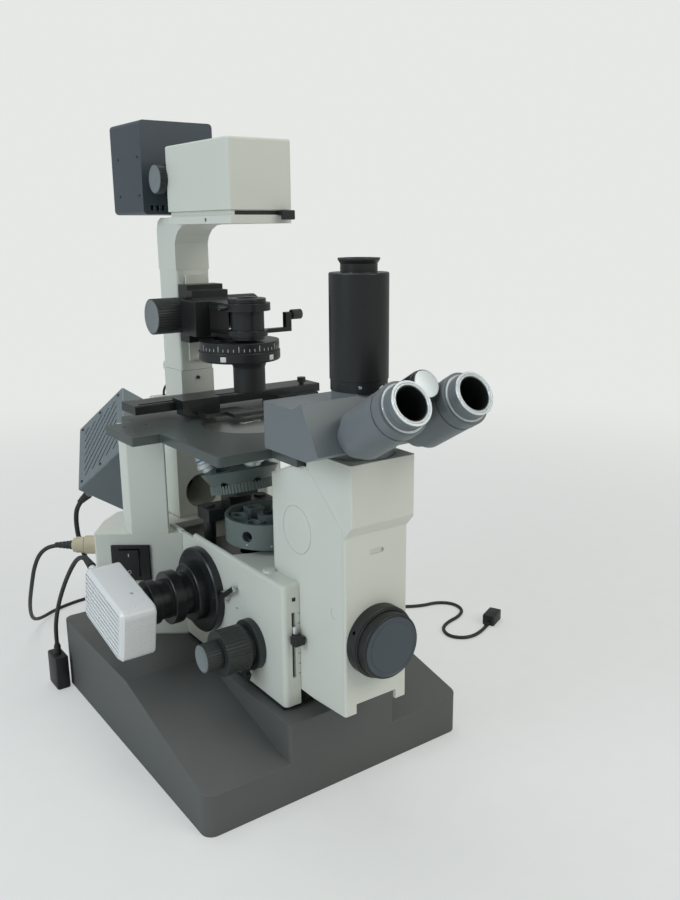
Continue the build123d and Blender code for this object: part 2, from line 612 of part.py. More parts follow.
def field_lens():
    lens = cz(0, 0, 569, 577, 23.95)
    return fillet(lens.edges().group_by(Axis.Z)[0], 2.5)


def lamp_collar():
    tube_wall = cy(0, HEADBOX_REAR, LAMP_FRONT, LAMP_Z, 25) + cx(-38.5, -20, 115, LAMP_Z, 8)
    tube_wall -= cy(0, HEADBOX_REAR - 1, LAMP_FRONT + 1, LAMP_Z, 21)
    return tube_wall + knurl_x(-46, -38, 115, LAMP_Z, 16, 36, 0.6)


def lamp_housing():
    body = bx(-LAMP_HALF, LAMP_HALF, LAMP_FRONT, LAMP_REAR, LAMP_LOW, LAMP_TOP)
    body = fillet(body.edges().filter_by(Axis.Y), 5)
    body -= bx(-LAMP_HALF + 3, LAMP_HALF - 3, LAMP_FRONT + 3, LAMP_REAR - 3, LAMP_LOW + 3, LAMP_TOP - 3)
    body -= cy(0, LAMP_FRONT - 1, LAMP_FRONT + 5, LAMP_Z, 20)
    for y in (160, 216):
        for z in (602, 644.3):
            for side in (-1, 1):
                x0, x1 = sided(side, LAMP_HALF - 4, LAMP_HALF + 1)
                body -= cx(x0, x1, y, z, 1.7)
    for k in range(8):
        y = 162 + 8 * k
        body -= bx(-36, 36, y, y + 3.5, LAMP_TOP - 4, LAMP_TOP + 1)
    for k in range(11):
        x = -37 + 7 * k
        body -= bx(x, x + 3.5, LAMP_FRONT - 1, LAMP_FRONT + 4, LAMP_LOW + 4, LAMP_LOW + 10)
    return body


def condenser_carriage():
    block = bx(-23, 23, 96, 119 - GAP, 436, 502) + bx(-23, 23, 84, 97, 445, 496)
    for side in (-1, 1):
        x0, x1 = sided(side, 12 + GAP, 18)
        block += bx(x0, x1, 117, 123.5, 440, 498)
    block += bx(-22, 22, 10, 90, 480, COND_RING) + cz(0, 0, 479, COND_RING, 25)
    block += bx(-40, -22, 44, COND_KNOB_Y - 20.5, 449, COND_RING) - bx(-36, -28, 52, 72, 440, 490)
    block -= cz(0, 0, 470, 490, COND_R + RUN)
    block += cx(-34, -24, 0, 483, 3)
    return block - cx(-24, 24, COND_KNOB_Y, COND_KNOB_Z, 6 + RUN)


def condenser_knobs():
    body = cx(-27, 27, COND_KNOB_Y, COND_KNOB_Z, 6)
    for side in (-1, 1):
        x0, x1 = sided(side, 26, 66)
        body += knurl_x(x0, x1, COND_KNOB_Y, COND_KNOB_Z, 20, 40, 0.7)
    return body


def condenser_tube():
    body = cz(0, 0, 448, 492, COND_R) + cz(0, 0, COND_RING, 492, 20.5)
    body = chamfer(body.edges().group_by(Axis.Z)[-1], 0.8)
    return body - cz(0, 0, 447, 493, 12)


def condenser_turret():
    y = COND_TURRET_Y
    body = cz(0, y, 424, 434.7, 45) + cz(0, y, 434.5, 436, 43.4) + cz(0, y, 435.8, 445.5, 44)
    body = fillet(body.edges().group_by(Axis.Z)[0], 2.5)
    for k in range(5):
        a = math.radians(-90 + 72 * k)
        body -= cz(20 * math.cos(a), y + 20 * math.sin(a), 420, 450, 9)
    return body - cz(0, y, 420, 450, 3 + RUN)


def condenser_lens():
    y = COND_TURRET_Y
    body = cz(0, 0, 390.7, 418, 17.4) + cone_z(0, 0, 418, 423.5, 17.4, 19.5)
    body = fillet(body.edges().group_by(Axis.Z)[0], 1.5)
    body += bx(-9, 9, 0, y, 419, 423.5) + cz(0, y, 419, 423.5, 9)
    body -= cz(0, 0, 396, 425, 9)
    body += cz(0, y, 420, 447.7, 3)
    body += bx(-11, 11, 19, 84, 446, 451) - cz(0, 0, 440, 455, COND_R + 0.2)
    return body


def aperture_lever():
    body = cz(0, 0, 452, 458, 21.5) + bx(20, 54, -3.5, 3.5, 453, 457.5)
    body += bx(47, 54, -3.5, 3.5, 456, 474) + cx(50, 57, 0, 471, 2.6)
    body += knurl_x(56, 68, 0, 471, 5.5, 24, 0.4)
    return body - cz(0, 0, 451, 459, COND_R + RUN)


def trinocular_housing():
    side = [(-226, HEAD_LOW), (-243.9, 377.5), (-219.4, 420), (-206, 413), (-156, 413), (-156, HEAD_LOW)]
    body = prism_x(side, -HEAD_HALF, HEAD_HALF)
    body = fillet(body.edges().filter_by(Axis.Z), 3)
    body += cz(0, HEAD_AXIS_Y, 405, 422, 25.5) - EYE * bx(-60, 60, 180, 280, 400, 440)
    inner = [(-225, HEAD_LOW + 4), (-238.4, 379.5), (-218.2, 414.5), (-206, 409), (-160, 409), (-160, HEAD_LOW + 4)]
    body -= prism_x(inner, -HEAD_HALF + 4, HEAD_HALF - 4)
    body += cz(0, HEAD_AXIS_Y, NOSE_TOP, HEAD_LOW + 1, 34) + cz(0, HEAD_AXIS_Y, NOSE_TOP - 4, NOSE_TOP + 1, 26.95)
    body -= cz(0, HEAD_AXIS_Y, NOSE_TOP - 6, HEAD_LOW + 5, 20)
    body -= cz(0, HEAD_AXIS_Y, 404, 423, 16)
    for sign in (-1, 1):
        body -= EYE * cz(sign * EYE_X, 222, 392, 401, 12)
    return body - EYE * cz(0, PIVOT_W, 392, 401, PIVOT_R + RUN)


def photo_tube():
    y = HEAD_AXIS_Y
    body = chamfer(cz(0, y, 432, 526, 27).edges().group_by(Axis.Z)[-1], 0.8) + cz(0, y, 422, 432, 26.3)
    body += cz(0, y, 526, 538, 16.6) + cone_z(0, y, 533.5, 537, 16.6, 18.8) + cz(0, y, 537, 538.5, 18.8)
    body -= cz(0, y, 421, 520, 21) + cz(0, y, 519, 540, 14)
    for a in (-125, -62):
        body -= Pos(0, y, 427) * Rot(0, 0, a) * cx(23.5, 28, 0, 0, 1.8)
    return body


def pivot_hub():
    hub = fillet(cz(0, PIVOT_W, 414.2, 468, 14).edges().group_by(Axis.Z)[-1], 1)
    hub += fillet(cz(0, PIVOT_W, 467, 472, 13.2).edges().group_by(Axis.Z)[-1], 1.2)
    return EYE * (hub + cz(0, PIVOT_W, 393, 415, PIVOT_R))


def eye_barrel(side, arm_low, arm_high):
    x = side * EYE_X
    body = cz(x, EYE_W, 414.2, 462, 23.5) + cz(x, EYE_W, 462, 464.5, 22.5) + cz(x, EYE_W, 464.5, 474, 23.8)
    body += cz(x, EYE_W, 474, 479, 19.8) + cz(x, EYE_W, 479, 485.6, 19.4)
    body += cz(x, EYE_W, 400.6, 415, 18)
    cut_low, cut_high = (400.5, arm_low) if arm_low > 405 else (arm_high, 414.3)
    body -= cz(0, PIVOT_W, cut_low - 0.1, cut_high, 21.3)
    away = math.degrees(math.atan2(EYE_W - PIVOT_W, x))
    middle = (arm_low + arm_high) / 2
    body += Pos(0, PIVOT_W, middle) * Rot(0, 0, away) * Pos(19, 0, 0) * Box(38, 20, arm_high - arm_low)
    body += cz(0, PIVOT_W, arm_low, arm_high, 12)
    body -= cz(0, PIVOT_W, 400, 414.1, PIVOT_R + RUN)
    body -= cz(0, PIVOT_W, 414, 490, 14.6)
    body -= cz(x, EYE_W, 445, 490, EYE_BORE) + cz(x, EYE_W, 399, 446, 12.5)
    screw = Pos(x, EYE_W, 469) * Rot(0, 0, 115 if side < 0 else 65) * cx(21.5, 26, 0, 0, 2.2)
    return EYE * (body - screw)


def arc_housing():
    box = fillet(bx(0, ARC_D, 0, ARC_A, 0, ARC_B).edges(), 2.5)
    box -= bx(3, ARC_D - 3, 3, ARC_A - 3, 3, ARC_B - 3)
    box -= bx(-1, 4, 5, ARC_A - 5, 5, ARC_B - 5)
    box += Pos(24, ARC_A + 8, 12) * Rot(-90, 0, 0) * Cone(6.5, 4.2, 16)
    return LAMP_BOX * box - cy(0, 200, 352.2, EPI_Z, 24)


def arc_louvres():
    panel = bx(0, 3, 5, ARC_A - 5, 5, ARC_B - 5)
    window = bx(-1, 4, 15, ARC_A - 15, 16, ARC_B - 16)
    for k in range(11):
        slot = Pos(1.5, ARC_A / 2, ARC_B / 2) * Rot(-42, 0, 0) * Pos(0, 0, 11 * (k - 5)) * Box(8, 200, 3)
        panel -= slot & window
    return LAMP_BOX * panel


def arc_neck():
    body = cy(0, HOUSE_REAR, HOUSE_REAR + 8, EPI_Z, 34) + cy(0, HOUSE_REAR + 7, 352, EPI_Z, 24)
    body += cy(0, 262, 284, EPI_Z, 29)
    return body - cy(0, HOUSE_REAR - 1, 353, EPI_Z, 20)


def tube(points, r, name):
    radii = []
    for a, b, c in zip(points, points[1:], points[2:]):
        u = Vector(*b) - Vector(*a)
        v = Vector(*c) - Vector(*b)
        turn = math.radians(u.get_angle(v))
        radii.append(0.45 * min(u.length, v.length) / math.tan(turn / 2))
    line = FilletPolyline(*points, radius=radii)
    start = Plane(origin=line @ 0, z_dir=line % 0)
    body = sweep(start * Circle(r), path=line)
    share = body.volume / (math.pi * r * r * line.length)
    print(name, "length", round(line.length, 1), "volume share", round(share, 3))
    print(name, "radii", [round(value, 1) for value in radii])
    return body


def arc_coil():
    x, y = COIL_AT
    return cz(x, y, 0, 4 * ARC_R, COIL_OUTER) - cz(x, y, -1, 15, COIL_INNER)


def cord_plugs():
    x = COIL_AT[0] + COIL_OUTER + 10.2
    y = COIL_AT[1]
    arc = cy(x, y - 30, y + 22, 10, 10) + cy(x, y - 38, y - 30, 10, 7)
    cam = fillet(bx(-183, -166, 190, 222, 0, 44).edges().filter_by(Axis.Z), 3) + bx(-178, -171, 201, 209, 43, 58)
    end = Pos(376, -4, 2.5) * Rot(0, 0, 24.4) * (cx(0, 10, 0, 0, 2.5) + bx(9, 40, -9, 9, -2.5, 13.5))
    return Compound([arc, cam, end])


def main():
    save(base_casting(), "base_casting")
    save(bottom_cover(), "bottom_cover")
    save(body_block(), "body_block")
    save(inner_frame(), "inner_frame")
    save(nose_housing(), "nose_housing")
    save(side_panels(), "side_panels")
    save(front_port(), "front_port")
    save(rear_housing(), "rear_housing")
    save(stage_posts(), "stage_posts")
    save(switch_bezel(), "switch_bezel")
    save(rocker_switch(), "rocker_switch")
    save(supply_socket(), "supply_socket")
    save(port_flange(), "port_flange")
    save(port_adapter(), "port_adapter")
    save(camera_body(), "camera_body")
    save(focus_bosses(), "focus_bosses")
    save(coarse_knobs(), "coarse_knobs")
    save(fine_knobs(), "fine_knobs")
    save(tension_lever(), "tension_lever")
    save(light_slider(), "light_slider")
    save(selector_lever(), "selector_lever")
    save(focus_carriage(), "focus_carriage")
    save(nosepiece_turret(), "nosepiece_turret")
    save(objectives(), "objectives")
    save(filter_turret(), "filter_turret")
    save(stage_plate(), "stage_plate")
    save(stage_insert(), "stage_insert")
    save(y_carriage(), "y_carriage")
    save(specimen_holder(), "specimen_holder")
    save(stage_knob_upper(), "stage_knob_upper")
    save(stage_knob_lower(), "stage_knob_lower")
    save(pillar_foot(), "pillar_foot")
    save(pillar(), "pillar")
    save(pillar_arm(), "pillar_arm")
    save(filter_slider(), "filter_slider")
    save(head_box(), "head_box")
    save(field_lens(), "field_lens")
    save(lamp_collar(), "lamp_collar")
    save(lamp_housing(), "lamp_housing")
    save(condenser_carriage(), "condenser_carriage")
    save(condenser_knobs(), "condenser_knobs")
    save(condenser_tube(), "condenser_tube")
    save(condenser_turret(), "condenser_turret")
    save(condenser_lens(), "condenser_lens")
    save(aperture_lever(), "aperture_lever")
    save(trinocular_housing(), "trinocular_housing")
    save(photo_tube(), "photo_tube")
    save(pivot_hub(), "pivot_hub")
    save(eye_barrel(-1, 401, 407), "eyetube_left")
    save(eye_barrel(1, 407.4, 413.4), "eyetube_right")
    save(arc_housing(), "arc_housing")
    save(arc_louvres(), "arc_louvres")
    save(arc_neck(), "arc_neck")
    save(tube(ARC_CABLE, ARC_R, "arc cable"), "arc_cable")
    save(arc_coil(), "arc_coil")
    save(tube(CAMERA_CABLE, CAM_R, "camera cable"), "camera_cable")
    save(tube(SUPPLY_CABLE, SUPPLY_R, "supply cable"), "supply_cable")
    save(cord_plugs(), "cord_plugs")
    save(tube(LAMP_LEAD, LEAD_R, "lamp lead"), "lamp_lead")


main()
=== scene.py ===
# %% [markdown]
# # An inverted microscope, dressed for the studio
# The rigid parts come from the CAD model, already in place and in metres. This lesson adds the
# camera, the light, the paints and metals, the cables and the small fittings. The frame is loaded
# first, and everything is deselected, because an operator works on all that is selected.

# %% Load the frame
import math
import bpy
from mathutils import Matrix, Vector


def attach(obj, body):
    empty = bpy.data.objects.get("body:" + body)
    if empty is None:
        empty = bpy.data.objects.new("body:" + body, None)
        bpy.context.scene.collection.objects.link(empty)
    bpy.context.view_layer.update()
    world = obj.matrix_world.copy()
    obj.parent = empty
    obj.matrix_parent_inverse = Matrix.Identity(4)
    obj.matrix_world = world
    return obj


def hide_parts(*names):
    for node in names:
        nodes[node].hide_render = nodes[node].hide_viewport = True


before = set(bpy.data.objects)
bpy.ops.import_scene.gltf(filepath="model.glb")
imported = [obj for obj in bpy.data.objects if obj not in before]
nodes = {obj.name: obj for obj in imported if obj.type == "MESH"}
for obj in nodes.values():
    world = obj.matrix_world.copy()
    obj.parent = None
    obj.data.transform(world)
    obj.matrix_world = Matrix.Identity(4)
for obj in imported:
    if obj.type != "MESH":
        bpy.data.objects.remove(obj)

bpy.ops.object.select_all(action="DESELECT")
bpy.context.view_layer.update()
MM = 0.001
print("CAD nodes:", len(nodes))

# %% [markdown]
# The camera stands to the left of the user and higher than the stage. Its place was solved from
# straight edges of the stand, so the parts need no fitting. A camera looks along its own minus Z.
# Its place is in metres, and its heading, pitch and roll are in degrees.

# %% Camera
CAMERA_PLACE = (-0.4741, -0.8279, 0.5639)
CAMERA_ANGLES = (35.7286, 14.2435, -0.468)

heading, pitch, roll = (math.radians(degrees) for degrees in CAMERA_ANGLES)
right = Vector((math.cos(heading), -math.sin(heading), 0))
ahead = Vector((math.sin(heading) * math.cos(pitch), math.cos(heading) * math.cos(pitch), -math.sin(pitch)))
upward = right.cross(ahead)
side_axis = right * math.cos(roll) + upward * math.sin(roll)
top_axis = upward * math.cos(roll) - right * math.sin(roll)
camera = bpy.data.objects.new("camera", bpy.data.cameras.new("camera"))
bpy.context.scene.collection.objects.link(camera)
camera_axes = Matrix((side_axis, top_axis, -ahead)).transposed()
camera.matrix_world = Matrix.Translation(CAMERA_PLACE) @ camera_axes.to_4x4()
camera.data.lens = 35.0
camera.data.sensor_width = 36.0
bpy.context.scene.camera = camera
print("camera looks", [round(c, 3) for c in ahead])

# %% [markdown]
# A small class lets shader sums be written as ordinary arithmetic. Each operator adds one Math
# node. Every other node comes from one method that takes its type, its settings and its sockets.

# %% Shader arithmetic
class Value:
    def __init__(self, tree, socket):
        self.tree = tree
        self.socket = socket

    def math(self, operation, first, second):
        node = self.tree.nodes.new("ShaderNodeMath")
        node.operation = operation
        for slot, term in zip(node.inputs, (first, second)):
            if isinstance(term, Value):
                self.tree.links.new(term.socket, slot)
            else:
                slot.default_value = term
        return Value(self.tree, node.outputs[0])

    def __add__(self, other):
        return self.math("ADD", self, other)

    def __rsub__(self, other):
        return self.math("SUBTRACT", other, self)

    def __mul__(self, other):
        return self.math("MULTIPLY", self, other)


class Finish:
    def __init__(self, name, **constants):
        self.material = bpy.data.materials.new(name)
        self.material.use_nodes = True
        self.tree = self.material.node_tree
        self.shader = self.tree.nodes["Principled BSDF"]
        for socket, value in constants.items():
            self.shader.inputs[socket.replace("_", " ")].default_value = value
        self.place = self.node("ShaderNodeTexCoord", output="Object")

    def node(self, kind, settings=None, sockets=None, output=0):
        node = self.tree.nodes.new(kind)
        for key, value in (settings or {}).items():
            setattr(node, key, value)
        for key, value in (sockets or {}).items():
            if isinstance(value, Value):
                self.tree.links.new(value.socket, node.inputs[key])
            else:
                node.inputs[key].default_value = value
        return Value(self.tree, node.outputs[output])

    def noise(self, scale, detail=2.0):
        sockets = {"Vector": self.place, "Scale": scale, "Detail": detail}
        return self.node("ShaderNodeTexNoise", None, sockets)

    def mix(self, factor, first, second):
        sockets = {"Factor": factor, 6: first, 7: second}
        return self.node("ShaderNodeMix", {"data_type": "RGBA"}, sockets, 2)

    def feed(self, socket, value):
        self.tree.links.new(value.socket, self.shader.inputs[socket])

    def bump(self, height, depth, normal):
        sockets = {"Height": height, "Distance": depth, "Strength": 0.6, "Normal": normal}
        self.feed("Normal", self.node("ShaderNodeBump", None, sockets))


def srgb(red, green, blue):
    shares = [c / 255 for c in (red, green, blue)]
    linear = [s / 12.92 if s <= 0.04045 else ((s + 0.055) / 1.055) ** 2.4 for s in shares]
    return (*linear, 1.0)


# %% [markdown]
# Paint on a casting has a fine orange-peel skin, slow changes of tone, and edges that catch the
# light because nothing real is perfectly sharp. A Bevel node rounds the edges of the shading and,
# compared with the flat normal, also finds them, so that the edges can be worn a little. A finish
# takes its colour, roughness, fineness of grain, depth of grain in metres, change of tone, and the
# colour of its worn edges. On the coated lens that edge colour is not wear but a painted purple
# reflection of the coating.

# %% Painted and moulded finishes
EDGE_RADIUS = 0.0008
PATCH_SCALE = 14
WEAR_SCALE = 160
EDGE_CONTRAST = 5.0


def coated(name, colour, rough, grain, depth, tone, edge_wear_and_reflection=None, **constants):
    finish = Finish(name, **constants)
    rounded = finish.node("ShaderNodeBevel", {"samples": 4}, {"Radius": EDGE_RADIUS})
    flat = finish.node("ShaderNodeNewGeometry", output="Normal")
    facing = finish.node("ShaderNodeVectorMath", {"operation": "DOT_PRODUCT"}, {0: rounded, 1: flat}, 1)
    patches = finish.noise(PATCH_SCALE, 3.0)
    skin = finish.noise(grain)
    paint = srgb(*colour)[:3]
    dark = (*[c * (1 - tone) for c in paint], 1.0)
    light = (*[min(1.0, c * (1 + tone)) for c in paint], 1.0)
    # Edges take this colour as wear; on the coated lens it is a painted purple reflection instead.
    worn_and_reflected_edge = srgb(*edge_wear_and_reflection) if edge_wear_and_reflection else light
    base = finish.mix(patches * 0.7 + skin * 0.3, dark, light)
    edge = (1 - facing) * EDGE_CONTRAST * finish.noise(WEAR_SCALE, 3.0)
    finish.feed("Base Color", finish.mix(edge, base, worn_and_reflected_edge))
    finish.feed("Roughness", patches * 0.14 + skin * 0.08 + (rough - 0.11))
    finish.bump(skin, depth, rounded)
    return finish.material


ENAMEL = coated("white_enamel_paint", (219, 222, 212), 0.42, 900, 0.00006, 0.04, (236, 236, 228))
BASE = coated("base_texture_paint", (92, 94, 92), 0.62, 1500, 0.00022, 0.16, (120, 120, 116))
HEAD = coated("head_grey_paint", (112, 119, 122), 0.40, 1100, 0.00008, 0.06, (150, 155, 156))
LAMP = coated("lamp_dark_paint", (66, 76, 84), 0.38, 1000, 0.00008, 0.08, (110, 115, 118))
ARC = coated("arc_grey_paint", (118, 128, 132), 0.45, 1000, 0.00010, 0.07, (155, 158, 156))
STAGE = coated("stage_anodised", (84, 92, 90), 0.36, 2600, 0.00003, 0.08, (150, 152, 150), Metallic=0.35)
BLACK = coated("black_anodised", (34, 37, 37), 0.30, 2400, 0.00003, 0.15, (96, 98, 98))
KNOB = coated("knob_plastic", (46, 51, 50), 0.42, 1800, 0.00006, 0.12, (80, 84, 82))
PLASTIC = coated("black_plastic_moulded", (30, 33, 32), 0.46, 1600, 0.00010, 0.12, (62, 64, 63))
GLOSS = coated("camera_gloss_white", (232, 234, 234), 0.26, 500, 0.00003, 0.02, (240, 240, 240),
               Coat_Weight=0.4)
BEIGE = coated("beige_connector", (196, 186, 158), 0.50, 1200, 0.00008, 0.08, (215, 206, 182))
STEEL = coated("bright_steel", (190, 192, 190), 0.28, 1400, 0.00002, 0.08, (225, 226, 224), Metallic=1.0)
CHROME = coated("satin_chrome_face", (206, 214, 216), 0.34, 1800, 0.00002, 0.05, (236, 238, 238),
                Metallic=0.6)
FACE = coated("knob_end_face", (122, 130, 132), 0.38, 1500, 0.00004, 0.07, (160, 164, 165))
RUBBER = coated("cable_sheath", (40, 43, 43), 0.55, 1400, 0.00012, 0.14, (70, 72, 72))
DRUM = coated("drum_green_grey", (98, 110, 106), 0.40, 1500, 0.00004, 0.08, (140, 148, 144))
BRASS = coated("warm_ring", (196, 170, 104), 0.30, 1500, 0.00002, 0.08, (224, 205, 150), Metallic=1.0)
BLUE = coated("blue_ring", (52, 96, 168), 0.40, 1500, 0.00003, 0.05)
MARK = coated("white_marking", (226, 228, 222), 0.50, 1500, 0.00002, 0.04)
# The purple edge colour of the lens is a painted reflection of its coating, not wear.
GLASS = coated("coated_lens", (24, 30, 52), 0.06, 300, 0.000005, 0.30, (70, 60, 110), Coat_Weight=1.0)

# %% [markdown]
# Each CAD node keeps its shape and takes one of these finishes. The table reads as the assembly
# does: pale enamel on the stand, dark texture paint on the base, black on the controls.

# %% Paint the CAD nodes
painted = {
    ENAMEL: "body_block nose_housing side_panels rear_housing stage_posts pillar_foot pillar pillar_arm "
            "head_box",
    BASE: "base_casting bottom_cover",
    HEAD: "trinocular_housing eyetube_left eyetube_right",
    LAMP: "lamp_housing",
    ARC: "arc_housing arc_louvres",
    STAGE: "stage_plate",
    BLACK: "inner_frame port_flange port_adapter photo_tube lamp_collar condenser_carriage condenser_tube "
           "condenser_turret aperture_lever y_carriage specimen_holder focus_carriage arc_neck pivot_hub",
    KNOB: "coarse_knobs fine_knobs tension_lever condenser_knobs stage_knob_upper stage_knob_lower "
          "focus_bosses",
    PLASTIC: "front_port switch_bezel rocker_switch light_slider filter_slider condenser_lens",
    GLOSS: "camera_body",
    BEIGE: "supply_socket",
    STEEL: "stage_insert selector_lever",
    DRUM: "filter_turret nosepiece_turret",
    GLASS: "field_lens",
    RUBBER: "lamp_lead arc_cable arc_coil camera_cable supply_cable cord_plugs",
}
for finish, names in painted.items():
    for name in names.split():
        slots = nodes[name].material_slots
        for slot in slots:
            slot.material = finish
        if not slots:
            nodes[name].data.materials.append(finish)
print("painted nodes:", sum(len(names.split()) for names in painted.values()))


# %% [markdown]
# Most fittings are turned on a lathe. A disc is added, then its face is extruded along the axis
# and scaled to each radius in turn, as a lathe cuts one shoulder after another. A hollow piece
# starts as a bare circle, and its last shoulder meets the first. The finished mesh is carried to
# its place, so the object itself stays at the origin. Places are in millimetres, with X to the
# user's right, Y away from the user and Z up.

# %% Turned pieces
MERGE_DISTANCE = 0.000002
SMOOTH_ANGLE = math.radians(35)
LEFTWARD, RIGHTWARD, FORWARD, DOWNWARD = (-1, 0, 0), (1, 0, 0), (0, -1, 0), (0, 0, -1)


def settle(piece, place, finish, body):
    piece.data.transform(place)
    piece.data.materials.clear()
    piece.data.materials.append(finish)
    bpy.ops.object.select_all(action="DESELECT")
    bpy.context.view_layer.objects.active = piece
    piece.select_set(True)
    bpy.ops.object.mode_set(mode="EDIT")
    bpy.ops.mesh.select_all(action="SELECT")
    bpy.ops.mesh.remove_doubles(threshold=MERGE_DISTANCE)
    bpy.ops.mesh.normals_make_consistent(inside=False)
    bpy.ops.object.mode_set(mode="OBJECT")
    bpy.ops.object.shade_smooth_by_angle(angle=SMOOTH_ANGLE)
    piece.select_set(False)
    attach(piece, body)
    return piece


def turned(name, profile, place, finish, body, sides=48, hollow=False):
    height, radius = profile[0]
    fill = "NOTHING" if hollow else "NGON"
    bpy.ops.mesh.primitive_circle_add(vertices=sides, radius=radius * MM, fill_type=fill, location=(0, 0, 0))
    piece = bpy.context.object
    piece.name = name
    piece.data.transform(Matrix.Translation((0, 0, height * MM)))
    bpy.ops.object.mode_set(mode="EDIT")
    bpy.ops.mesh.select_all(action="SELECT")
    shoulders = profile[1:] + profile[:1] if hollow else profile[1:]
    for next_height, next_radius in shoulders:
        rise = {"value": (0, 0, (next_height - height) * MM)}
        bpy.ops.mesh.extrude_region_move(TRANSFORM_OT_translate=rise)
        share = next_radius / radius
        centre = (0, 0, next_height * MM)
        bpy.ops.transform.resize(value=(share, share, 1), center_override=centre)
        height, radius = next_height, next_radius
    bpy.ops.object.mode_set(mode="OBJECT")
    return settle(piece, place, finish, body)


def at(x, y, z, axis=(0, 0, 1)):
    turn = Vector((0, 0, 1)).rotation_difference(Vector(axis)).to_matrix().to_4x4()
    return Matrix.Translation((x * MM, y * MM, z * MM)) @ turn


# %% [markdown]
# The eyepiece tubes rise towards the user at 30 degrees from level, so their fittings are placed
# in axes of their own: across, up from the tubes, and along them. The tubes stand open. Each mouth
# is a pale machined ring with a shallow groove round a black bore, and a chromed collar below it
# carries the clamp screw.

# %% Eyepiece mouths and the silver pivot disc
TUBE_TILT = math.radians(30)
EYE_HALF = 34
EYE_RISE = 215.8
PIVOT_RISE = 234.1
CLAMP_RADIUS = 21.6
CLAMP_ALONG = 469
MOUTH = [(485.4, 19.2), (486.2, 19.5), (486.8, 19.2), (486.8, 17.6), (486.3, 17.3), (486.3, 16.9),
         (486.8, 16.6), (486.8, 15.7), (486.0, 15.2), (485.4, 15.2)]
LINING = [(446, 14.95), (486.1, 14.95), (486.1, 14.5), (446.8, 14.4)]
COLLAR = [(473.8, 19.6), (474.0, 20.9), (474.3, 21.4), (475.6, 21.4), (475.9, 20.6), (475.9, 19.6)]
CLAMP_SCREW = [(0, 2.1), (2.6, 2.1), (3.0, 1.8), (3.0, 1.1), (1.6, 1.0), (1.6, 0.2)]
PIVOT_DISC = [(471.6, 12.0), (472.3, 12.2), (472.7, 11.8), (472.9, 8.0), (472.95, 0.5)]

lift, run = math.sin(TUBE_TILT), math.cos(TUBE_TILT)
ALONG_TUBES = Matrix(((1, 0, 0), (0, lift, -run), (0, run, lift))).to_4x4()

for label, x, clamp_angle in (("left", -EYE_HALF, 115), ("right", EYE_HALF, 65)):
    body = f"eye_{label}"
    tube = ALONG_TUBES @ at(x, EYE_RISE, 0)
    turned(f"mouth_ring_{label}", MOUTH, tube, CHROME, body, hollow=True)
    turned(f"bore_lining_{label}", LINING, tube, PLASTIC, body, hollow=True)
    turned(f"clamp_collar_{label}", COLLAR, tube, CHROME, body, hollow=True)
    away = math.radians(clamp_angle)
    outward = ALONG_TUBES @ Vector((math.cos(away), math.sin(away), 0))
    across, up = x + CLAMP_RADIUS * math.cos(away), EYE_RISE + CLAMP_RADIUS * math.sin(away)
    seat = ALONG_TUBES @ Vector((across, up, CLAMP_ALONG))
    turned(f"clamp_screw_{label}", CLAMP_SCREW, at(*seat, outward), STEEL, body, sides=24)
turned("pivot_disc", PIVOT_DISC, ALONG_TUBES @ at(0, PIVOT_RISE, 0), CHROME, "stand")
print("eyepiece tube parts done")

# %% [markdown]
# The knobs end in a grey inlay. It is a thin turned disc with a raised rim, let into the end face,
# and the radii of its profile are shares of the inlay's own. The front port gets a dark cap face
# and a thin edge to its ring.

# %% Knob end faces and the port cap
FOCUS_AXIS = (-87, 140)
FOCUS_REACH = 116.5
CONDENSER_KNOB_AXIS = (100, 468.5)
CONDENSER_KNOB_REACH = 66
FRONT_PORT_Z = 184
INLAY = [(-0.4, 0.93), (0.3, 0.93), (0.5, 0.88), (0.2, 0.84), (0.25, 0.4), (0.3, 0.02)]
PORT_CAP = [(-0.3, 29.5), (0.4, 29.4), (0.7, 28.6), (0.1, 27.8), (0.1, 24.6), (0.9, 24.0), (1.0, 22.0),
            (0.7, 0.5)]
PORT_RING = [(0, 33.6), (0.6, 33.4), (0.9, 32.6), (0.2, 32.2)]

knob_ends = [
    ("fine_left", at(-FOCUS_REACH, *FOCUS_AXIS, LEFTWARD), 15, "fine"),
    ("fine_right", at(FOCUS_REACH, *FOCUS_AXIS, RIGHTWARD), 15, "fine"),
    ("condenser_left", at(-CONDENSER_KNOB_REACH, *CONDENSER_KNOB_AXIS, LEFTWARD), 20, "condenser_knob"),
    ("condenser_right", at(CONDENSER_KNOB_REACH, *CONDENSER_KNOB_AXIS, RIGHTWARD), 20, "condenser_knob"),
    ("stage_drive", at(122, 76, 262, DOWNWARD), 11, "knob_lower"),
    ("collar_knob", at(-46, 115, 618, LEFTWARD), 16, "pillar"),
]
for label, place, inlay_radius, body in knob_ends:
    profile = [(height, share * inlay_radius) for height, share in INLAY]
    turned(f"inlay_{label}", profile, place, FACE, body)
turned("port_cap_face", PORT_CAP, at(0, -249, FRONT_PORT_Z, FORWARD), LAMP, "stand")
turned("port_ring_edge", PORT_RING, at(0, -238, FRONT_PORT_Z, FORWARD), BLACK, "stand")
print("inlays:", len(knob_ends))

# %% [markdown]
# Five objectives stand on the nosepiece, and its sixth seat stays open. Each is a chromed barrel
# with a broad foot ring, a colour band for its power and a small front lens. One loop turns them
# all from the same run of shoulders. The nosepiece leans, and the axes of its seats meet in one
# point below it, so a barrel is placed by its turn about the nosepiece and its height from there.

# %% Objectives
NOSEPIECE_LEAN = math.radians(15)
SEAT_RING = 33
SEAT_Z = 312
FIRST_SEAT = -90
APEX = SEAT_RING / math.sin(NOSEPIECE_LEAN)
TURRET = Matrix.Translation((0, 0, (SEAT_Z - APEX) * MM)) @ Matrix.Rotation(-NOSEPIECE_LEAN, 4, "X")
OBJECTIVES = [(38, BRASS), (32, BLUE), (36, STEEL), (37, BRASS), (28, BLUE)]

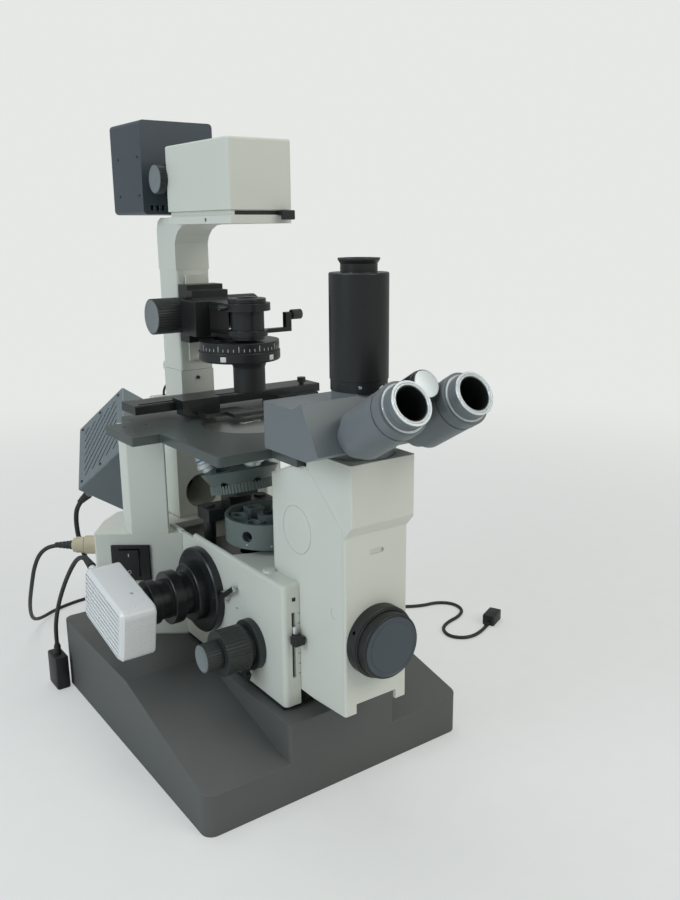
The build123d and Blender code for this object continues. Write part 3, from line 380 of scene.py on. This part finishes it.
for index, (tip, band) in enumerate(OBJECTIVES):
    spin = Matrix.Rotation(math.radians(60 * index + FIRST_SEAT), 4, "Z")
    outward_lean = Matrix.Rotation(NOSEPIECE_LEAN, 4, "Y")
    seat = TURRET @ spin @ outward_lean @ Matrix.Translation((0, 0, APEX * MM))
    barrel = [(-4.8, 9.9), (0, 9.9), (0, 13.6), (0.5, 14.0), (5.2, 14.0), (6, 13.2), (6, 12.3),
              (tip - 14, 12.3), (tip - 13, 11.6), (tip - 11, 11.6), (tip - 9.6, 12.0), (tip - 3.2, 8.4),
              (tip - 1, 7.8), (tip - 0.2, 6.6), (tip - 0.2, 3.6), (tip - 1, 3.4), (tip - 1, 0.3)]
    turned(f"objective_{index + 1}", barrel, seat, CHROME, "nosepiece")
    stripe = [(tip - 19, 12.2), (tip - 18.8, 12.55), (tip - 17.2, 12.55), (tip - 17, 12.2)]
    turned(f"colour_band_{index + 1}", stripe, seat, band, "nosepiece")
    lens = [(tip - 2, 3.4), (tip - 0.9, 3.3), (tip - 0.6, 2.2), (tip - 0.5, 0.2)]
    turned(f"front_lens_{index + 1}", lens, seat, GLASS, "nosepiece", 24)
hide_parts("objectives")

# %% [markdown]
# Screws hold the stage, the port flange, the lamp housing and the louvres. A cap screw is a short
# cylinder with a chamfered rim and a round sunk socket. One profile, in shares of the screw's
# radius, serves every size. The screws of the photo tube and the filter drum stand round an axis.

# %% Screws
CAP_SCREW = [(-0.5, 1.0), (0.55, 1.0), (0.75, 0.86), (0.75, 0.5), (0.2, 0.45), (0.2, 0.03)]
PHOTO_TUBE_Y = -199.5
DRUM_Y = -32
LOUVRE_CORNER = Vector((-30, 303, 272))


def on_rim(y, z, radius, degrees):
    angle = math.radians(degrees)
    x_share, y_share = math.cos(angle), math.sin(angle)
    return at(radius * x_share, y + radius * y_share, z, (x_share, y_share, 0))


flange_angles = [math.radians(degrees) for degrees in (50, 170, 290)]
screws = [("port_flange", at(-64.0, 22 + 43 * math.cos(a), 165 + 43 * math.sin(a), LEFTWARD), 3.0, "stand")
          for a in flange_angles]
screws += [("lamp_side", at(-45.4, y, z, LEFTWARD), 1.6, "pillar") for y in (160, 216) for z in (602, 644.3)]
stage_places = ((-98, -32), (98, -32), (-98, 60), (-122, 30), (-122, 62))
screws += [("stage_top", at(x, y, 353.8), 2.0, "stand") for x, y in stage_places]
box_x, box_z = Vector((0.833, 0.0, -0.553)), Vector((0.344, 0.784, 0.518))
box_y = box_z.cross(box_x)
for along, across in ((10, 10), (98, 10), (10, 117), (98, 117), (54, 10), (54, 117)):
    seat = LOUVRE_CORNER + box_y * along + box_z * across - box_x * 0.1
    screws.append(("louvre", at(*seat, -box_x), 1.9, "stand"))
screws += [("pillar_clamp", at(0, 124.2, 390, FORWARD), 2.1, "stand"),
           ("arm_side", at(-35.6, 14.9, 573, LEFTWARD), 1.9, "pillar"),
           ("block_side", at(-55.2, -54.2, 167.7, LEFTWARD), 1.1, "stand")]
screws += [("tube_clamp", on_rim(PHOTO_TUBE_Y, 427, 24.8, degrees), 1.7, "stand") for degrees in (-125, -62)]
screws += [("drum_rim", on_rim(DRUM_Y, 237, 47.8, degrees), 1.3, "drum") for degrees in (-150, -118, -86, -54)]
for index, (label, place, screw_radius, body) in enumerate(screws):
    profile = [(height * screw_radius, share * screw_radius) for height, share in CAP_SCREW]
    finish = STEEL if label in ("stage_top", "tube_clamp", "drum_rim") else BLACK
    turned(f"screw_{label}_{index}", profile, place, finish, body, 18)
print("screws:", len(screws))


# %% [markdown]
# Flat marks and boxes start as a cube of the right size whose edges are bevelled in edit mode.
# Scale lines are thin raised bars, because a visible mark should be a shape of its own. Every
# third or fourth line of a scale is longer.

# %% Bevelled blocks and marks
def block(name, low, high, finish, body, edge=0.2, place=Matrix.Identity(4)):
    centre = [(a + b) / 2 * MM for a, b in zip(low, high)]
    bpy.ops.mesh.primitive_cube_add(size=1, location=(0, 0, 0))
    piece = bpy.context.object
    piece.name = name
    sizes = [(b - a) * MM for a, b in zip(low, high)]
    piece.data.transform(Matrix.Translation(centre) @ Matrix.Diagonal((*sizes, 1)))
    bpy.ops.object.mode_set(mode="EDIT")
    bpy.ops.mesh.select_all(action="SELECT")
    bpy.ops.mesh.bevel(offset=edge * MM, segments=2, affect="EDGES")
    bpy.ops.object.mode_set(mode="OBJECT")
    return settle(piece, place, finish, body)


LIGHT_SCALE_X = -39.5
LIGHT_SCALE_Z = 126
for tick in range(7):
    reach = 5.5 if tick % 3 == 0 else 3.5
    z = LIGHT_SCALE_Z + tick * 11
    block(f"light_mark_{tick}", (LIGHT_SCALE_X, -149.25, z), (LIGHT_SCALE_X + reach, -148.9, z + 0.5),
          PLASTIC, "stand", edge=0.1)
block("light_window", (-45.8, -149.4, 206), (-41.8, -148.8, 210), PLASTIC, "stand", edge=0.15)
block("slider_tab", (-45.8, -152.5, 171.8), (-43.2, -148.5, 179), GLOSS, "light", edge=0.3)

STAGE_SCALE_X = -92
STAGE_SCALE_Y = 100.4
for tick in range(56):
    x = STAGE_SCALE_X + tick * 2.5
    reach = 3.0 if tick % 4 == 0 else 1.8
    block(f"stage_scale_{tick}", (x, STAGE_SCALE_Y - reach, 375.9), (x + 0.3, STAGE_SCALE_Y, 376.12),
          MARK, "stage_y", 0.05)

CONDENSER_AXIS = Matrix.Translation((0, 20 * MM, 0))
for tick in range(24):
    turn = CONDENSER_AXIS @ Matrix.Rotation(math.radians(180 + tick * 7.5), 4, "Z")
    tall = 6 if tick % 4 == 0 else 3
    block(f"turret_mark_{tick}", (43.8, -0.3, 437), (44.2, 0.3, 437 + tall), MARK, "condenser_disc",
          0.05, turn)
for window in range(5):
    turn = CONDENSER_AXIS @ Matrix.Rotation(math.radians(72 * window - 70), 4, "Z")
    block(f"turret_window_{window}", (44.6, -3.2, 426.5), (45.3, 3.2, 432), MARK, "condenser_disc",
          0.2, turn)

SWITCH_PLACE = (-106.2, 109.73, 180.6)
SWITCH_TURN = math.radians(-35.443)
OFF_RING = [(4.2, 1.6), (5.2, 1.6), (5.2, 2.2), (4.2, 2.2)]
switch = at(*SWITCH_PLACE) @ Matrix.Rotation(SWITCH_TURN, 4, "Z")
block("rocker_mark_on", (-2.3, -5.2, 8.5), (-1.5, -4.2, 12.5), MARK, "rocker", 0.1, switch)
turned("rocker_mark_off", OFF_RING, switch @ at(-1.9, 0, -10.5, FORWARD), MARK, "rocker",
       24, True)
print("marks done")


# %% [markdown]
# A cable is one smooth NURBS curve through the route that the CAD tube follows. Its order is set
# after its points exist, because it can't be higher than their number. The arc cable's spare
# length is wound into a flat coil of two layers: the turns are more points of the same spline.

# %% Cables
def cable(name, route, radius, nodes_replaced):
    curve = bpy.data.curves.new(name, "CURVE")
    curve.dimensions = "3D"
    curve.bevel_depth = radius * MM
    curve.bevel_resolution = 5
    curve.use_fill_caps = True
    spline = curve.splines.new("NURBS")
    spline.points.add(len(route) - 1)
    for point, place in zip(spline.points, route):
        point.co = (*[c * MM for c in place], 1.0)
    spline.order_u = 3
    spline.use_endpoint_u = True
    spline.resolution_u = 10
    piece = bpy.data.objects.new(name, curve)
    bpy.context.scene.collection.objects.link(piece)
    curve.materials.append(RUBBER)
    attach(piece, "stand")
    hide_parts(*nodes_replaced)
    exit_point = tuple(c * MM for c in route[0])


ARC_RADIUS = 3.5
CAMERA_RADIUS = 2.6
SUPPLY_RADIUS = 2.5
COIL_CENTRE = (60, 300)
COIL_START = 168
COIL_OUTER = 46.5
COIL_INNER = 31.5
TURN_POINTS = 14
LAYER_TURNS = 3


def coil_point(count):
    turns = count / TURN_POINTS
    angle = math.radians(COIL_START + 360 * count / TURN_POINTS)
    if turns < LAYER_TURNS:
        radius = COIL_OUTER - (COIL_OUTER - COIL_INNER) * turns / LAYER_TURNS
    else:
        radius = COIL_INNER + 14 * (turns - LAYER_TURNS) / 3.14
    climb = min(1, max(0, turns - 2.75) / 0.5)
    return (COIL_CENTRE[0] + radius * math.cos(angle), COIL_CENTRE[1] + radius * math.sin(angle),
            ARC_RADIUS + 2 * ARC_RADIUS * climb)


ARC_ROUTE = [(-59.6, 389.5, 184.0), (-68.3, 401.9, 170.9), (-71, 409, 146), (-68, 409, 108), (-58, 401, 68),
             (-42, 388, 36), (-18, 368, 14), (2, 350, 5), (12, 334, 3.5), (14.5, 318.2, 3.5)]
ARC_ROUTE += [coil_point(step + 1) for step in range(2 * LAYER_TURNS * TURN_POINTS + 2)]
ARC_ROUTE += [(37, 258, 9.5), (54, 247, 6), (76, 235, 3.8), (100, 230.5, 3.8), (119.2, 246, 6.5),
              (119.2, 262.5, 10)]
CAMERA_ROUTE = [(-166, 81.9, 201.7), (-166, 97.6, 204.9), (-167.5, 118, 197.5), (-170, 138, 178.5),
                (-172.5, 160, 152), (-174.5, 181, 122), (-175.5, 197, 92), (-175, 204, 70), (-174.5, 205, 58)]
SUPPLY_ROUTE = [(-162, 167.2, 198), (-176.7, 177.6, 198), (-188, 190, 188), (-192, 208, 165),
                (-190, 236, 130), (-184, 276, 90), (-172, 322, 52), (-156, 366, 24), (-134, 404, 7),
                (-104, 432, 2.5), (-58, 444, 2.5), (-8, 440, 2.5), (42, 424, 2.5), (90, 402, 2.5),
                (138, 374, 2.5), (184, 340, 2.5), (226, 300, 2.5), (262, 254, 2.5), (290, 204, 2.5),
                (300, 158, 2.5), (318, 124, 2.5), (348, 106, 2.5), (376, 102, 2.5), (394, 84, 2.5),
                (390, 58, 2.5), (368, 44, 2.5), (342, 40, 2.5), (320, 28, 2.5), (312, 4, 2.5),
                (328, -14, 2.5), (354, -14, 2.5), (376, -4, 2.5)]

# %% [markdown]
# Each cable ends in its own plug: a round stepped connector for the arc lamp, a tall moulded block
# for the camera and a flat one for the supply lead. Where a cable leaves its housing, a relief
# with five soft ribs guards it, and the ribs go from the root's thickness to the cable's.

# %% Plugs and reliefs
ARC_PLUG_PLACE = (119.2, 262, 10)
CAMERA_PLUG_PLACE = (-174.5, 205, 43.5)
SUPPLY_PLUG_PLACE = (376, -4, 0)
SUPPLY_PLUG_TURN = math.radians(24.4)
RELIEF_ROOT = -6
RIBS = 5
ARC_PLUG = [(0, 4.2), (1, 6.6), (8, 7.0), (8.4, 9.4), (9.4, 10), (26, 10), (27, 9.2), (29, 9.2), (30, 9.9),
            (50, 9.9), (52, 9.4), (60, 9.4), (60, 7.6), (52, 7.4), (52, 0.4)]
CAMERA_NECK = [(0, 4.8), (5, 4.6), (5.2, 3.9), (8, 3.9), (8.2, 4.4), (11, 4.0), (14.5, 2.8)]
SUPPLY_NECK = [(0, 2.8), (2, 3.2), (4, 3.0), (4.4, 3.3), (7, 3.2), (7.4, 3.5), (10, 3.5)]

arc_plug = turned("arc_plug", ARC_PLUG, at(*ARC_PLUG_PLACE, (0, 1, 0)), BLACK, "stand")
camera_plug = block("camera_plug", (-183, 190, 0), (-166, 222, 44), PLASTIC, "stand", 2.5)
camera_neck = turned("camera_plug_neck", CAMERA_NECK, at(*CAMERA_PLUG_PLACE), PLASTIC, "stand",
                     24)
supply_end = at(*SUPPLY_PLUG_PLACE) @ Matrix.Rotation(SUPPLY_PLUG_TURN, 4, "Z")
supply_plug = block("supply_plug", (9, -9, 0), (40, 9, 16), PLASTIC, "stand", 2.0, supply_end)
supply_neck = turned("supply_plug_neck", SUPPLY_NECK, supply_end @ at(0, 0, 3.6, RIGHTWARD), PLASTIC, "stand",
                     24)
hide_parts("cord_plugs")
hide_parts("cord_plugs")
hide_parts("cord_plugs")


def relief(name, exit_point, direction, cable_radius, root, reach):
    shape = [(RELIEF_ROOT, root)]
    step = (reach - RELIEF_ROOT) / RIBS
    for rib in range(RIBS):
        low = RELIEF_ROOT + (reach - RELIEF_ROOT) * rib / RIBS
        thick = root + (cable_radius + 0.7 - root) * (rib + 0.5) / RIBS
        shape += [(low + step * 0.1, thick), (low + step * 0.7, thick * 0.97),
                  (low + step * 0.75, thick * 0.84), (low + step * 0.98, thick * 0.83)]
    shape.append((reach, cable_radius * 0.9))
    turned(name, shape, at(*exit_point, direction), RUBBER, "stand", 32)


relief("arc_cable_relief", ARC_ROUTE[0], (-0.45, 0.6, -0.66), ARC_RADIUS, 6.6, 15)
relief("camera_lead_relief", CAMERA_ROUTE[0], (0, 0.98, 0.2), CAMERA_RADIUS, 4.9, 15)
relief("supply_lead_relief", SUPPLY_ROUTE[0], (-0.816, 0.578, 0), SUPPLY_RADIUS, 5.6, 15)

cable("arc_lamp_cable", ARC_ROUTE, ARC_RADIUS, ("arc_cable", "arc_coil"))
cable("camera_lead", CAMERA_ROUTE, CAMERA_RADIUS, ("camera_cable",))
cable("supply_lead", SUPPLY_ROUTE, SUPPLY_RADIUS, ("supply_cable",))
print("cables laid")

# %% [markdown]
# The studio has a pale floor that catches the soft shadow. Where the camera sees the floor or the
# world directly, they are lifted towards white by their own colour, not by more light on the
# microscope. The floor's lift grows with the distance from the stand.

# %% Floor, world and lamps
FLOOR_GLOW = (0.79, 0.81, 0.79, 1)
WORLD_COLOUR = (0.86, 0.88, 0.86, 1)
WORLD_LIGHT = 0.42
WORLD_SEEN = 0.92

bpy.ops.mesh.primitive_plane_add(size=8, location=(0, 0, -0.0002))
floor = bpy.context.object
floor.name = "studio_floor"
paper = Finish("floor_paper", Roughness=0.8)
paper.feed("Base Color", paper.mix(paper.noise(30), srgb(226, 228, 228), srgb(233, 235, 235)))
distance = paper.node("ShaderNodeVectorMath", {"operation": "LENGTH"}, {0: paper.place}, 1)
far = paper.node("ShaderNodeMapRange", {"interpolation_type": "SMOOTHSTEP"},
                 {"Value": distance, "From Min": 0.5, "From Max": 2.2, "To Min": 0.45, "To Max": 1.0})
seen_by_camera = paper.node("ShaderNodeLightPath", output="Is Camera Ray")
glow = paper.node("ShaderNodeEmission", None, {"Color": FLOOR_GLOW})
lit = Value(paper.tree, paper.shader.outputs[0])
surface = paper.node("ShaderNodeMixShader", None, {0: far * seen_by_camera, 1: lit, 2: glow})
paper.tree.links.new(surface.socket, paper.tree.nodes["Material Output"].inputs["Surface"])
floor.data.materials.append(paper.material)

world = bpy.data.worlds.new("studio_world")
bpy.context.scene.world = world
world.use_nodes = True
background = world.node_tree.nodes["Background"]
background.inputs["Color"].default_value = WORLD_COLOUR
ray_kind = world.node_tree.nodes.new("ShaderNodeLightPath")
strength = world.node_tree.nodes.new("ShaderNodeMapRange")
strength.inputs["To Min"].default_value = WORLD_LIGHT
strength.inputs["To Max"].default_value = WORLD_SEEN
world.node_tree.links.new(ray_kind.outputs["Is Camera Ray"], strength.inputs["Value"])
world.node_tree.links.new(strength.outputs["Result"], background.inputs["Strength"])


def lamp(name, place, aim, size, power, colour):
    light = bpy.data.lights.new(name, "AREA")
    light.shape = "DISK"
    light.size = size
    light.energy = power
    light.color = colour
    item = bpy.data.objects.new(name, light)
    bpy.context.scene.collection.objects.link(item)
    towards = (Vector(aim) - Vector(place)).to_track_quat("-Z", "Y").to_matrix().to_4x4()
    item.matrix_world = Matrix.Translation(place) @ towards


lamp("window_left", (-2.2, -0.2, 1.5), (0, 0, 0.35), 1.4, 21, (0.76, 0.88, 1.0))
lamp("soft_front", (0.9, -2.1, 1.9), (0, 0, 0.3), 1.6, 20, (1.0, 0.98, 0.92))
lamp("overhead", (0.1, 0.5, 2.3), (0, 0, 0.3), 1.5, 13, (1.0, 1.0, 1.0))
bpy.context.scene.view_settings.view_transform = "Standard"
